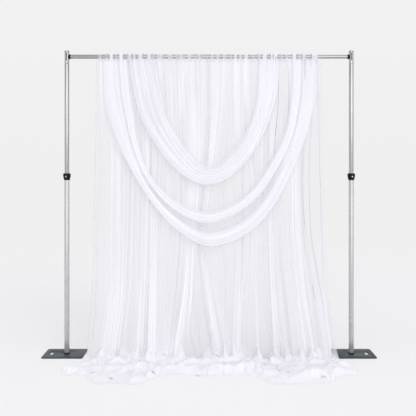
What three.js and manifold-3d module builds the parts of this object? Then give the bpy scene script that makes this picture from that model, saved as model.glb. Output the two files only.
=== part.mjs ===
// Pipe and drape backdrop: two telescopic uprights on steel base plates, a telescopic crossbar hooked
// between their slotted heads, four sheer curtains threaded on the bar and two swags thrown over it.
// Millimetres, +Z up, front towards -Y. The origin is on the floor, in the middle of the footprint.
import * as THREE from 'three';
import { mergeVertices } from 'three/addons/utils/BufferGeometryUtils.js';
import Module from 'manifold-3d';

const wasm = await Module();
wasm.setup();

// Whole stand
const uprightSpacing = 2860; // between the axes of the uprights
const standHeight = 3048; // floor to the top of the caps
const barDrop = 58; // from the top of the caps to the crossbar's axis

// Clearances
const seatGap = 0.3; // between faces that touch
const boreGap = 0.3; // round a pin, screw or plug in its hole
const cutOverrun = 5; // how far a cutter runs past the piece it cuts

// Base plate and what fastens the base pin to it
const plateWidth = 406;
const plateDepth = 356;
const plateThickness = 8;
const plateCornerRadius = 22;
const pinInset = 20; // from the plate's middle towards the drape
const handleSlotLength = 112;
const handleSlotWidth = 30;
const handleSlotInset = 72; // from the plate's outer edge to the slot's centre line
const boltRadius = 5;
const boltHeadRadius = 9.5;
const boltHeadHeight = 5;
const boltRecess = 0.6; // of the head above the plate's underside
const boltReach = 26; // into the base pin
const boltSocketWidth = 6;
const boltSocketDepth = 3;

// Base pin
const pinFlangeRadius = 29;
const pinFlangeHeight = 11;
const pinHeight = 140; // above its flange
const pinRadius = 23.8;
const pinNoseChamfer = 7;

// Lower tube
const lowerRadius = 25.4;
const lowerWall = 1.2;
const lowerTubeTop = 1774; // above the floor

// Upper tube
const upperRadius = 23.5;
const upperWall = 1.2;
const upperOverlap = 160; // of the two tubes when the upright is fully out

// Slotted head, the sleeve on the upper tube's top end
const headDrop = 74; // of the head's foot below the bar's axis
const headLedge = 4; // thickness of the ledge that rests on the tube
const headSpigotDepth = 34; // in the tube
const headSpigotWall = 2;
const headSlotWidth = 9;
const headSlotBottom = 38; // below the bar's axis
const headSlotTop = 38; // above the bar's axis
const headSlotCount = 4;
const footPlugFlangeHeight = 12;
const footPlugDepth = 32;
const footPlugWall = 4;

// Top cap
const capThickness = 5;
const capOverhang = 1; // past the upper tube's wall
const capEdgeRadius = 2;
const capSpigotDepth = 11;
const capSpigotWall = 3;

// Clamp collar at the joint of the tubes
const collarHeight = 67;
const collarSeatDepth = 24; // of the lower tube in the collar
const collarWaistRadius = 29;
const collarBellyRadius = 38;
const collarBellyHeight = 40; // where the belly starts
const collarLipRadius = 33;
const collarShoulder = 8; // height of the rounded shoulder
const bossRadius = 13;
const bossReach = 41; // from the tube's axis to the boss's face
const screwRise = 11; // of the clamp screw above the lower tube's end
const screwRadius = 4;
const screwHeadRadius = 8;
const screwHeadHeight = 3;
const insertRadius = 8;
const insertLength = 12;
const knobRadius = 17;
const knobLobeDepth = 2.5;
const knobLobes = 6;
const knobLength = 18;

// Crossbar
const barRadius = 21; // outer tube
const barWall = 1.5;
const barInnerRadius = 19.05; // inner tube
const outerTubeLength = 1630;
const innerTubeLength = 1420;
const endPlugStandOff = 1; // between the upright and the plug's disc
const endPlugRadius = 24;
const endPlugDisc = 14;
const endPlugDepth = 46;
const endPlugRounding = 3;
const guideFlange = 10;
const guideDepth = 26;
const guideWall = 4;

// Hooks at the ends of the crossbar
const hookThickness = 6;
const hookHalfHeight = 10; // of the tail in the plug
const hookTailLength = 36; // past the disc's outer face
const hookLipDrop = 22; // of the lip below the head slot
const hookLipThickness = 6.8;
const rivetRadius = 3;
const rivetHeadRadius = 4.5;
const rivetHeadHeight = 1.5;
const rivetInset = 12; // from the tail's inner end

// Cloth
const clothThickness = 1.5;
const curtainCount = 4;
const hangWidth = 2280; // of the four curtains on the bar
const floorWidth = 2400; // where they reach the floor
const poolWidth = 2660; // over the cloth on the floor
const curtainGap = 2; // between two curtains
const pocketDrop = 70; // from the bar's axis to the pocket's stitching
const foldCount = 6; // main folds of a curtain
const foldDepth = 28; // half of their depth
const foldWanderShare = 0.07; // how unevenly the folds are spaced, of a curtain's width
const hangDrift = 60; // forwards, from the pocket down to the floor curve
const poolLine = 290; // from the bar's plane to where the cloth starts to lie
const poolLineHeight = 26; // of the cloth's middle there
const poolFoldDepth = 17;
const hemFoldDepth = 9;
const hemReaches = [800, 990, 760, 1040, 800]; // forwards from the bar's plane, at the curtains' edges
const hemSplit = 0.6; // between the hanging and the lying part of a curtain
const swagTailDrop = 150; // behind the bar
const swagFoldDepth = 16;
const swagFolds = 2.5; // across a swag
const swagClearance = 4; // in front of the curtains' folds
const swagRunIn = 420; // drop over which a swag's folds open

// Shares of the curtains' height at which a row of the hanging cloth lies
const hangShares = [0.25, 0.5, 0.75, 0.93];
// The floor curve: how far along the way to the pool line, and what share of the height above it is left
const floorCurveShares = [[0.3, 0.4], [0.65, 0.12]];
// Rows of the cloth on the floor, as shares of its reach
const poolShares = [0.33, 0.67, 1];
// Edges of the swags: share of the curtains' half width, share of the bar's height below the bar
const shortSwagInnerShares = [
  [-0.422, 0], [-0.401, 0.115], [-0.355, 0.204], [-0.233, 0.281], [0.01, 0.376],
  [0.238, 0.298], [0.361, 0.241], [0.419, 0.148], [0.425, 0],
];
const shortSwagOuterShares = [
  [-0.701, 0], [-0.655, 0.131], [-0.573, 0.231], [-0.383, 0.348], [0.009, 0.434],
  [0.333, 0.351], [0.465, 0.271], [0.58, 0.155], [0.635, 0],
];
const longSwagInnerShares = [
  [-0.71, 0], [-0.677, 0.148], [-0.618, 0.298], [-0.428, 0.437], [0.007, 0.522],
  [0.331, 0.452], [0.516, 0.368], [0.693, 0.214], [0.731, 0],
];
const longSwagOuterShares = [
  [-0.919, 0], [-0.904, 0.158], [-0.801, 0.284], [-0.516, 0.481], [-0.012, 0.636],
  [0.399, 0.571], [0.637, 0.451], [0.876, 0.214], [0.958, 0],
];

// Facets
const tubeSides = 24;
const smallSides = 16;
const cornerSteps = 3;
const knobLobeSteps = 6;
const curtainColumns = 24;
const swagRows = 18;
const swagColumns = 6;
const pocketSteps = 4;

// Places that follow from the sizes above
const barHeight = standHeight - barDrop; // floor to the crossbar's axis
const pinFlangeBottom = plateThickness + seatGap;
const lowerTubeBottom = pinFlangeBottom + pinFlangeHeight + seatGap;
const lowerBore = lowerRadius - lowerWall;
const upperBore = upperRadius - upperWall;
const upperTubeBottom = lowerTubeTop - upperOverlap;
const headTop = standHeight - capThickness - seatGap;
const headBottom = barHeight - headDrop;
const upperTubeTop = headBottom - seatGap;
const collarBottom = lowerTubeTop - collarSeatDepth;
const screwHeight = lowerTubeTop + screwRise;
const barStart = upperRadius + endPlugStandOff; // disc face, from the upright's axis
const barTubeStart = barStart + endPlugDisc + seatGap;
const outerTubeBore = barRadius - barWall;
const innerTubeBore = barInnerRadius - barWall;
const pocketFlat = Math.cos(Math.PI / (2 * pocketSteps)); // a facet's middle against its corners
const pocketRadius = (barRadius + seatGap) / pocketFlat + clothThickness / 2; // middle of the cloth
const swagRadius = pocketRadius + clothThickness + seatGap / pocketFlat;
const barSetback = (Math.max(...hemReaches) - plateDepth / 2) / 2; // of the bar's plane behind the origin

const finishes = {
  blackSteel: new THREE.MeshStandardMaterial({ color: 0x3a3f49, roughness: 0.38, metalness: 0.4 }),
  pinBlack: new THREE.MeshStandardMaterial({ color: 0x17181b, roughness: 0.45, metalness: 0.3 }),
  polishedTube: new THREE.MeshStandardMaterial({ color: 0xc9cbcd, roughness: 0.22, metalness: 0.95 }),
  satinTube: new THREE.MeshStandardMaterial({ color: 0xa9abad, roughness: 0.38, metalness: 0.9 }),
  blackPlastic: new THREE.MeshStandardMaterial({ color: 0x0c0c0e, roughness: 0.42, metalness: 0 }),
  brightSteel: new THREE.MeshStandardMaterial({ color: 0xb9bbbe, roughness: 0.25, metalness: 1 }),
  brass: new THREE.MeshStandardMaterial({ color: 0xb08a45, roughness: 0.35, metalness: 1 }),
  sheerCloth: new THREE.MeshStandardMaterial({ color: 0xf3f2f8, roughness: 0.9, metalness: 0 }),
};

const backdrop = new THREE.Group();
backdrop.position.y = barSetback;
export default backdrop;

// Solids

function merged(geometry) {
  const bare = geometry.index ? geometry : mergeVertices(geometry);
  bare.deleteAttribute('normal');
  bare.deleteAttribute('uv');
  return mergeVertices(bare);
}

function toSolid(geometry) {
  const mesh = merged(geometry);
  const corners = mesh.index.array;
  const kept = [];
  for (let i = 0; i < corners.length; i += 3) {
    const [a, b, c] = corners.subarray(i, i + 3);
    if (a !== b && b !== c && c !== a) kept.push(a, b, c);
  }
  return new wasm.Manifold(new wasm.Mesh({
    numProp: 3,
    vertProperties: new Float32Array(mesh.attributes.position.array),
    triVerts: new Uint32Array(kept),
  }));
}

function toGeometry(solid) {
  const { vertProperties, triVerts } = solid.getMesh();
  const geometry = new THREE.BufferGeometry();
  geometry.setAttribute('position', new THREE.BufferAttribute(vertProperties, 3));
  geometry.setIndex(new THREE.BufferAttribute(triVerts, 1));
  return geometry;
}

function cut(geometry, ...cutters) {
  return toGeometry(cutters.reduce((rest, cutter) => rest.subtract(toSolid(cutter)), toSolid(geometry)));
}

function join(geometry, ...others) {
  return toGeometry(others.reduce((whole, other) => whole.add(toSolid(other)), toSolid(geometry)));
}

// A profile of [radius, height] pairs turned about +Z. A ring's profile closes on itself.
function turned(profile, sides = tubeSides) {
  const outline = profile.map(([radius, height]) => new THREE.Vector2(radius, height));
  const onAxis = profile[0][0] === 0;
  if (THREE.ShapeUtils.isClockWise(outline)) outline.reverse();
  if (!onAxis) outline.push(outline[0].clone());
  return new THREE.LatheGeometry(outline, sides).rotateX(Math.PI / 2);
}

function ring(outer, inner, low, high, sides = tubeSides) {
  return turned([[inner, low], [outer, low], [outer, high], [inner, high]], sides);
}

function rod(radius, low, high, sides = smallSides) {
  return turned([[0, low], [radius, low], [radius, high], [0, high]], sides);
}

// Points of a quarter round from one profile direction to the next
function quarterRound(centreRadius, centreHeight, radius, fromAngle, steps = cornerSteps) {
  return Array.from({ length: steps + 1 }, (_, i) => {
    const angle = fromAngle + (Math.PI / 2) * (i / steps);
    return [centreRadius + radius * Math.cos(angle), centreHeight + radius * Math.sin(angle)];
  });
}

function extruded(shape, depth) {
  return new THREE.ExtrudeGeometry(shape, { depth, bevelEnabled: false, curveSegments: cornerSteps });
}

const towardsX = (geometry) => geometry.rotateY(Math.PI / 2);
const towardsFront = (geometry) => geometry.rotateX(Math.PI / 2);

function add(parent, name, geometry, finish) {
  const mesh = new THREE.Mesh(geometry, finish);
  mesh.name = name;
  parent.add(mesh);
  return mesh;
}

// Base

function roundedRectangle(width, depth, radius, path = new THREE.Shape()) {
  const x = width / 2;
  const y = depth / 2;
  path.moveTo(-x + radius, -y);
  path.lineTo(x - radius, -y);
  path.absarc(x - radius, -y + radius, radius, -Math.PI / 2, 0, false);
  path.lineTo(x, y - radius);
  path.absarc(x - radius, y - radius, radius, 0, Math.PI / 2, false);
  path.lineTo(-x + radius, y);
  path.absarc(-x + radius, y - radius, radius, Math.PI / 2, Math.PI, false);
  path.lineTo(-x, -y + radius);
  path.absarc(-x + radius, -y + radius, radius, Math.PI, 1.5 * Math.PI, false);
  return path;
}

// The upright's axis is the local origin and the drape hangs on the +X side.
function basePlate() {
  const plate = extruded(roundedRectangle(plateWidth, plateDepth, plateCornerRadius), plateThickness);
  const slotEnd = handleSlotWidth / 2;
  const slot = extruded(
    roundedRectangle(handleSlotWidth, handleSlotLength, slotEnd * 0.999),
    plateThickness + 2 * cutOverrun,
  ).translate(handleSlotInset - plateWidth / 2, 0, -cutOverrun);
  const bolt = baseBoltProfile(boreGap, cutOverrun);
  return cut(plate.translate(-pinInset, 0, 0), slot.translate(-pinInset, 0, 0), turned(bolt, smallSides));
}

function baseBoltProfile(growth, overrun) {
  const shank = boltRadius + growth;
  const headTop = boltRecess + boltHeadHeight;
  return [
    [0, boltRecess - overrun],
    [boltHeadRadius + growth, boltRecess - overrun],
    [boltHeadRadius + growth, boltRecess + growth],
    [shank, headTop + growth],
    [shank, plateThickness + boltReach + overrun],
    [0, plateThickness + boltReach + overrun],
  ];
}

function baseBolt() {
  const socket = rod(boltSocketWidth / Math.sqrt(3), boltRecess - cutOverrun, boltRecess + boltSocketDepth, 6);
  return cut(turned(baseBoltProfile(0, 0), smallSides), socket);
}

function basePin() {
  const bottom = pinFlangeBottom;
  const shoulder = bottom + pinFlangeHeight;
  const top = shoulder + pinHeight;
  const hole = boltRadius + boreGap;
  const holeTop = plateThickness + boltReach + boreGap;
  return turned([
    [0, holeTop], [hole, holeTop], [hole, bottom], [pinFlangeRadius, bottom], [pinFlangeRadius, shoulder],
    [pinRadius, shoulder], [pinRadius, top - pinNoseChamfer], [pinRadius - pinNoseChamfer, top], [0, top],
  ]);
}

// Uprights

function slottedHead() {
  const slotLow = barHeight - headSlotBottom;
  const slotHeight = headSlotBottom + headSlotTop;
  const reach = upperRadius + cutOverrun;
  const slots = Array.from({ length: headSlotCount }, (_, i) => (
    new THREE.BoxGeometry(reach, headSlotWidth, slotHeight)
      .translate(reach / 2, 0, slotLow + slotHeight / 2)
      .rotateZ((2 * Math.PI * i) / headSlotCount)
  ));
  const spigot = upperBore - boreGap;
  const inside = spigot - headSpigotWall;
  const spigotBottom = headBottom - headSpigotDepth;
  const sleeve = turned([
    [inside, spigotBottom], [spigot, spigotBottom], [spigot, headBottom], [upperRadius, headBottom],
    [upperRadius, headTop], [upperBore, headTop], [upperBore, headBottom + headLedge],
    [inside, headBottom + headLedge],
  ]);
  return cut(sleeve, ...slots);
}

function upperFootPlug() {
  const flangeRadius = lowerBore - boreGap;
  const spigot = upperBore - boreGap;
  const shoulder = upperTubeBottom - seatGap;
  const bottom = shoulder - footPlugFlangeHeight;
  const top = upperTubeBottom + footPlugDepth;
  const inside = spigot - footPlugWall;
  return turned([
    [inside, bottom], [flangeRadius, bottom], [flangeRadius, shoulder], [spigot, shoulder], [spigot, top],
    [inside, top],
  ]);
}

function topCap() {
  const bottom = headTop + seatGap;
  const radius = upperRadius + capOverhang;
  const spigot = upperBore - boreGap;
  const spigotBottom = bottom - capSpigotDepth;
  const edge = quarterRound(radius - capEdgeRadius, standHeight - capEdgeRadius, capEdgeRadius, 0);
  return turned([
    [0, bottom], [spigot - capSpigotWall, bottom], [spigot - capSpigotWall, spigotBottom],
    [spigot, spigotBottom], [spigot, bottom], [radius, bottom], ...edge, [0, standHeight],
  ]);
}

function clampCollar() {
  const outerBore = lowerRadius + boreGap;
  const innerBore = upperRadius + boreGap;
  const seat = lowerTubeTop + seatGap;
  const top = collarBottom + collarHeight;
  const shoulderRun = collarBellyRadius - collarLipRadius;
  const shoulder = quarterRound(0, 0, 1, 0).map(([across, up]) => [
    collarLipRadius + shoulderRun * across,
    top - collarShoulder + collarShoulder * up,
  ]);
  const body = turned([
    [outerBore, collarBottom], [collarWaistRadius, collarBottom],
    [collarBellyRadius, collarBottom + collarBellyHeight], ...shoulder,
    [innerBore, top], [innerBore, seat], [outerBore, seat],
  ]);
  const place = (geometry) => towardsFront(geometry).translate(0, 0, screwHeight);
  const wallMiddle = (outerBore + collarBellyRadius) / 2;
  const boss = place(rod(bossRadius, wallMiddle, bossReach));
  const screwHole = place(rod(screwRadius + boreGap, innerBore - cutOverrun, bossReach + cutOverrun));
  const pocketStart = bossReach - insertLength - seatGap;
  const pocket = place(rod(insertRadius + boreGap, pocketStart, bossReach + cutOverrun));
  return cut(join(body, boss), screwHole, pocket);
}

function clampInsert() {
  const hole = screwRadius + boreGap;
  return towardsFront(ring(insertRadius, hole, bossReach - insertLength, bossReach, smallSides))
    .translate(0, 0, screwHeight);
}

function clampScrew() {
  const tip = upperRadius + seatGap;
  const headSeat = bossReach + seatGap + knobLength + seatGap;
  const headTop = headSeat + screwHeadHeight;
  const dome = quarterRound(screwHeadRadius - screwHeadHeight, headSeat, screwHeadHeight, 0);
  return towardsFront(turned([
    [0, tip], [screwRadius, tip], [screwRadius, headSeat], ...dome, [0, headTop],
  ], smallSides)).translate(0, 0, screwHeight);
}

function roundOutline(steps, radiusAt) {
  return Array.from({ length: steps }, (_, i) => {
    const angle = (2 * Math.PI * i) / steps;
    return new THREE.Vector2(Math.cos(angle), Math.sin(angle)).multiplyScalar(radiusAt(angle));
  });
}

function clampKnob() {
  const lobed = (angle) => knobRadius - knobLobeDepth * (1 - Math.cos(knobLobes * angle)) / 2;
  const shape = new THREE.Shape(roundOutline(knobLobes * knobLobeSteps, lobed));
  shape.holes.push(new THREE.Path(roundOutline(smallSides, () => screwRadius + boreGap)));
  return towardsFront(extruded(shape, knobLength).translate(0, 0, bossReach + seatGap))
    .translate(0, 0, screwHeight);
}

function upright(side) {
  const group = new THREE.Group();
  add(group, `${side}_base_bolt`, baseBolt(), finishes.brightSteel);
  add(group, `${side}_base_pin`, basePin(), finishes.pinBlack);
  const lowerTube = ring(lowerRadius, lowerBore, lowerTubeBottom, lowerTubeTop);
  const upperTube = ring(upperRadius, upperBore, upperTubeBottom, upperTubeTop);
  add(group, `${side}_lower_tube`, lowerTube, finishes.polishedTube);
  add(group, `${side}_upper_tube`, upperTube, finishes.polishedTube);
  add(group, `${side}_slotted_head`, slottedHead(), finishes.polishedTube);
  add(group, `${side}_upper_foot_plug`, upperFootPlug(), finishes.blackPlastic);
  add(group, `${side}_top_cap`, topCap(), finishes.blackPlastic);
  add(group, `${side}_clamp_collar`, clampCollar(), finishes.blackPlastic);
  add(group, `${side}_clamp_insert`, clampInsert(), finishes.brass);
  add(group, `${side}_clamp_screw`, clampScrew(), finishes.brightSteel);
  add(group, `${side}_clamp_knob`, clampKnob(), finishes.blackPlastic);
  const plate = add(group, `${side}_base_plate`, basePlate(), finishes.blackSteel);
  if (side === 'right') {
    plate.rotation.z = Math.PI;
    group.position.x = uprightSpacing / 2;
  } else {
    group.position.x = -uprightSpacing / 2;
  }
  return group;
}

// Crossbar. Each end is made for the left upright, with +X along the bar and Z from the bar's axis.

function rivetPlace() {
  return barStart + hookTailLength - rivetInset;
}

function crossHole(radius, reach) {
  return towardsFront(rod(radius, -reach, reach)).translate(rivetPlace(), 0, 0);
}

function endPlug(bore) {
  const spigot = bore - boreGap;
  const disc = barStart + endPlugDisc;
  const end = disc + endPlugDepth;
  const rounding = endPlugRounding;
  const outerEdge = quarterRound(endPlugRadius - rounding, disc - rounding, rounding, 0);
  const innerEdge = quarterRound(endPlugRadius - rounding, barStart + rounding, rounding, -Math.PI / 2);
  const body = towardsX(turned([
    [0, barStart], ...innerEdge, ...outerEdge, [spigot, disc], [spigot, end], [0, end],
  ]));
  const slotLength = hookTailLength + boreGap + cutOverrun;
  const slot = new THREE.BoxGeometry(slotLength, hookThickness + 2 * boreGap, 2 * (hookHalfHeight + boreGap))
    .translate(barStart - cutOverrun + slotLength / 2, 0, 0);
  return cut(body, slot, crossHole(rivetRadius + boreGap, endPlugRadius + cutOverrun));
}

function hook() {
  const tailEnd = barStart + hookTailLength;
  const bend = barStart - seatGap;
  const neckBottom = seatGap - headSlotBottom;
  const lipOuter = Math.sqrt((upperBore * Math.cos(Math.PI / tubeSides)) ** 2 - (hookThickness / 2) ** 2) - seatGap;
  const lipInner = lipOuter - hookLipThickness;
  const lipBottom = neckBottom - hookLipDrop;
  const shape = new THREE.Shape([
    new THREE.Vector2(tailEnd, -hookHalfHeight),
    new THREE.Vector2(tailEnd, hookHalfHeight),
    new THREE.Vector2(lipInner, hookHalfHeight),
    new THREE.Vector2(lipInner, lipBottom),
    new THREE.Vector2(lipOuter, lipBottom),
    new THREE.Vector2(lipOuter, neckBottom),
    new THREE.Vector2(bend, neckBottom),
    new THREE.Vector2(bend, -hookHalfHeight),
  ]);
  const plate = towardsFront(extruded(shape, hookThickness)).translate(0, hookThickness / 2, 0);
  return cut(plate, crossHole(rivetRadius + boreGap, endPlugRadius));
}

function rivet(tubeRadius) {
  const seat = tubeRadius + seatGap;
  const end = seat + rivetHeadHeight;
  return towardsFront(turned([
    [0, -end], [rivetRadius, -end], [rivetHeadRadius, -seat], [rivetRadius, -seat], [rivetRadius, seat],
    [rivetHeadRadius, seat], [rivetRadius, end], [0, end],
  ], smallSides)).translate(rivetPlace(), 0, 0);
}

function barTube(outer, bore, length) {
  const tube = towardsX(ring(outer, bore, barTubeStart, barTubeStart + length));
  return cut(tube, crossHole(rivetRadius + boreGap, outer + cutOverrun));
}

function tubeGuide() {
  const end = barTubeStart + innerTubeLength;
  const flange = outerTubeBore - boreGap;
  const spigot = innerTubeBore - boreGap;
  const inside = spigot - guideWall;
  return towardsX(turned([
    [inside, end - guideDepth], [spigot, end - guideDepth], [spigot, end + seatGap], [flange, end + seatGap],
    [flange, end + seatGap + guideFlange], [inside, end + seatGap + guideFlange],
  ]));
}

function crossbar() {
  const ends = { outer: new THREE.Group(), inner: new THREE.Group() };
  const sizes = {
    outer: [barRadius, outerTubeBore, outerTubeLength, finishes.satinTube],
    inner: [barInnerRadius, innerTubeBore, innerTubeLength, finishes.polishedTube],
  };
  for (const [end, group] of Object.entries(ends)) {
    const [radius, bore, length, finish] = sizes[end];
    add(group, `crossbar_${end}_tube`, barTube(radius, bore, length), finish);
    add(group, `crossbar_${end}_end_plug`, endPlug(bore), finishes.blackPlastic);
    add(group, `crossbar_${end}_hook`, hook(), finishes.brightSteel);
    add(group, `crossbar_${end}_rivet`, rivet(radius), finishes.brightSteel);
    group.position.set(-uprightSpacing / 2, 0, barHeight);
  }
  add(ends.inner, 'crossbar_inner_guide', tubeGuide(), finishes.blackPlastic);
  ends.inner.rotation.z = Math.PI;
  ends.inner.position.x = uprightSpacing / 2;
  return ends;
}

// Cloth. A sheet is a grid of points, and each row lies across it.

function sheetSolid(rows) {
  const last = rows.length - 1;
  const width = rows[0].length;
  const end = width - 1;
  const faces = [[], []];
  rows.forEach((row, i) => row.forEach((point, j) => {
    const along = rows[Math.min(i + 1, last)][j].clone().sub(rows[Math.max(i - 1, 0)][j]);
    const across = row[Math.min(j + 1, end)].clone().sub(row[Math.max(j - 1, 0)]);
    const normal = across.cross(along).setLength(clothThickness / 2);
    faces[0].push(point.clone().add(normal));
    faces[1].push(point.clone().sub(normal));
  }));
  const count = faces[0].length;
  const at = (i, j, face) => i * width + j + face * count;
  const triangles = [];
  const quad = (a, b, c, d) => triangles.push(a, b, c, a, c, d);
  for (let i = 0; i < last; i += 1) {
    for (let j = 0; j < end; j += 1) {
      quad(at(i, j, 0), at(i, j + 1, 0), at(i + 1, j + 1, 0), at(i + 1, j, 0));
      quad(at(i, j, 1), at(i + 1, j, 1), at(i + 1, j + 1, 1), at(i, j + 1, 1));
    }
    quad(at(i, 0, 0), at(i + 1, 0, 0), at(i + 1, 0, 1), at(i, 0, 1));
    quad(at(i, end, 0), at(i, end, 1), at(i + 1, end, 1), at(i + 1, end, 0));
  }
  for (let j = 0; j < end; j += 1) {
    quad(at(0, j, 0), at(0, j, 1), at(0, j + 1, 1), at(0, j + 1, 0));
    quad(at(last, j, 0), at(last, j + 1, 0), at(last, j + 1, 1), at(last, j, 1));
  }
  const geometry = new THREE.BufferGeometry().setFromPoints(faces.flat());
  geometry.setIndex(triangles);
  return geometry;
}

const blend = THREE.MathUtils.lerp;

// Half depth of the curtains' folds, and the place of their middle behind the front, at a height
const foldTop = barHeight - pocketDrop;
const foldFull = barHeight * (1 - hangShares[0]);
const driftEnd = barHeight * (1 - hangShares.at(-1));

function foldAt(height) {
  return foldDepth * THREE.MathUtils.clamp((foldTop - height) / (foldTop - foldFull), 0, 1);
}

function hangAt(height) {
  const down = THREE.MathUtils.clamp((foldTop - height) / (foldTop - driftEnd), 0, 1);
  return -pocketRadius - hangDrift * down;
}

// Rows over the bar, from behind it to its front
function overBar(radius, tailDrop) {
  const arc = Array.from({ length: pocketSteps }, (_, i) => {
    const angle = (Math.PI * i) / pocketSteps;
    return { y: radius * Math.cos(angle), z: barHeight + radius * Math.sin(angle), turn: angle };
  });
  return [{ y: radius, z: barHeight - tailDrop, turn: 0 }, ...arc];
}

// The rows of a curtain down to the pool line. turn is the angle of the cloth's outside, from +Y over the top.
function hangingRows() {
  const rows = overBar(pocketRadius, pocketDrop).map((row) => ({ ...row, fold: 0, spread: 0 }));
  rows.push({ y: -pocketRadius, z: barHeight, turn: Math.PI, fold: 0, spread: 0 });
  rows.push({ y: -pocketRadius, z: foldTop, turn: Math.PI, fold: 0, spread: 0 });
  for (const share of hangShares) {
    const z = barHeight * (1 - share);
    rows.push({ y: hangAt(z), z, turn: Math.PI, fold: foldAt(z), spread: share });
  }
  const bend = rows.at(-1);
  for (const [along, left] of floorCurveShares) {
    const y = blend(bend.y, -poolLine, along);
    const z = blend(poolLineHeight, bend.z, left);
    const fold = blend(foldDepth, poolFoldDepth, along);
    rows.push({ y, z, turn: blend(Math.PI, Math.PI / 2, along), fold, spread: 1 });
  }
  const edge = { y: -poolLine + hemSplit / 2, z: poolLineHeight, turn: Math.PI / 2, fold: poolFoldDepth };
  rows.push({ ...edge, spread: 1 });
  return rows;
}

function lyingRows() {
  const start = { y: -poolLine - hemSplit / 2, z: poolLineHeight, turn: Math.PI / 2, fold: poolFoldDepth };
  const rows = [{ ...start, spread: 1, reach: 0 }];
  for (const share of poolShares) {
    const fold = blend(poolFoldDepth, hemFoldDepth, share);
    rows.push({ z: fold + clothThickness / 2, turn: Math.PI / 2, fold, spread: 1 + share, reach: share });
  }
  return rows;
}

// Width of the curtains together: on the bar at 0, on the floor at 1, over the pool at 2
function widthAt(spread) {
  if (spread <= 1) return blend(hangWidth, floorWidth, spread);
  return blend(floorWidth, poolWidth, spread - 1);
}

function curtainSheet(index, rows) {
  return sheetSolid(rows.map((row) => {
    const width = widthAt(row.spread);
    const single = width / curtainCount;
    const left = -width / 2 + index * single + curtainGap / 2;
    return Array.from({ length: curtainColumns + 1 }, (_, column) => {
      const across = column / curtainColumns;
      const wander = foldWanderShare * Math.sin(2 * Math.PI * across);
      const rise = row.fold * Math.cos(2 * Math.PI * (foldCount * across + wander * foldCount));
      const hem = -blend(hemReaches[index], hemReaches[index + 1], across);
      const y = row.y ?? blend(-poolLine, hem, row.reach);
      return new THREE.Vector3(
        left + across * (single - curtainGap),
        y + rise * Math.cos(row.turn),
        row.z + rise * Math.sin(row.turn),
      );
    });
  }));
}

function swagEdge(shares) {
  const points = shares.map(([side, drop]) => (
    new THREE.Vector3((side * hangWidth) / 2, 0, barHeight * (1 - drop))
  ));
  return new THREE.CatmullRomCurve3(points, false, 'centripetal');
}

function swagSheet(innerShares, outerShares) {
  const inner = swagEdge(innerShares);
  const outer = swagEdge(outerShares);
  const overRow = ({ y, z }, along) => {
    const from = inner.getPoint(along).x;
    const to = outer.getPoint(along).x;
    return Array.from({ length: swagColumns + 1 }, (_, column) => (
      new THREE.Vector3(blend(from, to, column / swagColumns), y, z)
    ));
  };
  const hangingRow = (along) => Array.from({ length: swagColumns + 1 }, (_, column) => {
    const across = column / swagColumns;
    const point = inner.getPoint(along).lerp(outer.getPoint(along), across);
    const drop = THREE.MathUtils.clamp((barHeight - point.z) / swagRunIn, 0, 1);
    const rise = swagFoldDepth * drop;
    const front = hangAt(point.z) - foldAt(point.z) + pocketRadius - swagRadius;
    point.y = front - (swagClearance + rise) * Math.min(1, drop * swagColumns)
      + rise * Math.cos(2 * Math.PI * swagFolds * across);
    return point;
  });
  const over = overBar(swagRadius, swagTailDrop);
  const middle = Array.from({ length: swagRows + 1 }, (_, i) => hangingRow(i / swagRows));
  return sheetSolid([
    ...over.map((row) => overRow(row, 0)),
    ...middle,
    ...over.map((row) => overRow(row, 1)).reverse(),
  ]);
}

function cloth(parent) {
  ['left_outer', 'left_inner', 'right_inner', 'right_outer'].forEach((place, index) => {
    add(parent, `curtain_${place}`, curtainSheet(index, hangingRows()), finishes.sheerCloth);
    add(parent, `curtain_hem_${place}`, curtainSheet(index, lyingRows()), finishes.sheerCloth);
  });
  add(parent, 'swag_short', swagSheet(shortSwagInnerShares, shortSwagOuterShares), finishes.sheerCloth);
  add(parent, 'swag_long', swagSheet(longSwagInnerShares, longSwagOuterShares), finishes.sheerCloth);
}

const bar = crossbar();
backdrop.add(upright('left'), upright('right'), bar.outer, bar.inner);
cloth(backdrop);
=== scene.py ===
import math

import bpy
import numpy as np
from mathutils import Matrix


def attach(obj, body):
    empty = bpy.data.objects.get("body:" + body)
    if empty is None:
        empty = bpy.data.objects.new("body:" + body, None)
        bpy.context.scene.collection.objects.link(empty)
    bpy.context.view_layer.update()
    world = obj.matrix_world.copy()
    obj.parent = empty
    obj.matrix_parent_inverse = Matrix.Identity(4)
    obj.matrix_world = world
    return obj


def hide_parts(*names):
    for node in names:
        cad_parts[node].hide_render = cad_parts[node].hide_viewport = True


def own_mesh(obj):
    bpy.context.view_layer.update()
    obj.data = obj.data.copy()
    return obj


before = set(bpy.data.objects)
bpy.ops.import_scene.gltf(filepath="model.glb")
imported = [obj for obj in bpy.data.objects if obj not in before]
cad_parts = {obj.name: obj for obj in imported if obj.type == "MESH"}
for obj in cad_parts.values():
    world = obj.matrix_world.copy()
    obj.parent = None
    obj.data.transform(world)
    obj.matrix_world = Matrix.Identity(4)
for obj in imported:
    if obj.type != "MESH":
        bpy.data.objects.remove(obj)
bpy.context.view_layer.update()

# Sizes shared with the solids, in metres
STAND_DEPTH = 0.431      # how far behind the centre of the footprint the uprights and the bar stand
BAR_HEIGHT = 2.990
BAR_RADIUS = 0.021
PIXEL = 0.010005         # metres to a photograph pixel in the plane of the cloth
CENTRE_PIXEL = 209.1     # the column of the middle of the stand
BAR_PIXEL = 57           # and the row of the bar


# Shader helpers

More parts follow.
